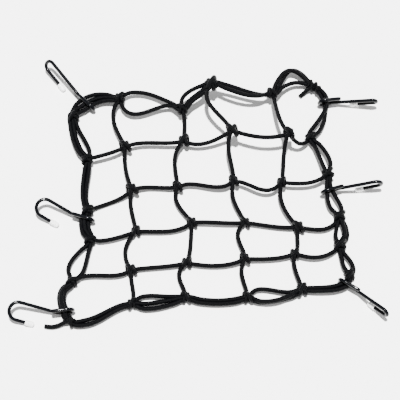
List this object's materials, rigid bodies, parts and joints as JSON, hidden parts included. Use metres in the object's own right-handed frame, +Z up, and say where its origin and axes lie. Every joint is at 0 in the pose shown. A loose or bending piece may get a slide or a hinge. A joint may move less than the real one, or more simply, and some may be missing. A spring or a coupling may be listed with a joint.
{
  "type": "cargo net",
  "caption": "Stretch cargo net of black knotted elastic cord with bent wire hooks at its edge, lying loosely on the floor.",
  "frame": {"origin": "on the floor under the middle of the whole thing as it lies", "axes": "+X along the rows of knots that run left to right, +Y from the near edge to the far edge, +Z up"},
  "size_m": [0.5096, 0.4105, 0.0424],
  "materials": {
    "elastic_cord": "matte braided sheath",
    "coated_wire": "glossy dip coating",
    "point_cap": "milky clear"
  },
  "bodies": {
    "root": {"net": "elastic_cord", "hook_far_left": "coated_wire", "hook_far_right": "coated_wire", "hook_mid_left": "coated_wire", "hook_mid_right": "coated_wire", "hook_near_left": "coated_wire", "hook_near_right": "coated_wire", "cap_far_left": "point_cap", "cap_far_right": "point_cap", "cap_mid_left": "point_cap", "cap_mid_right": "point_cap", "cap_near_left": "point_cap", "cap_near_right": "point_cap"}
  },
  "joints": []
}
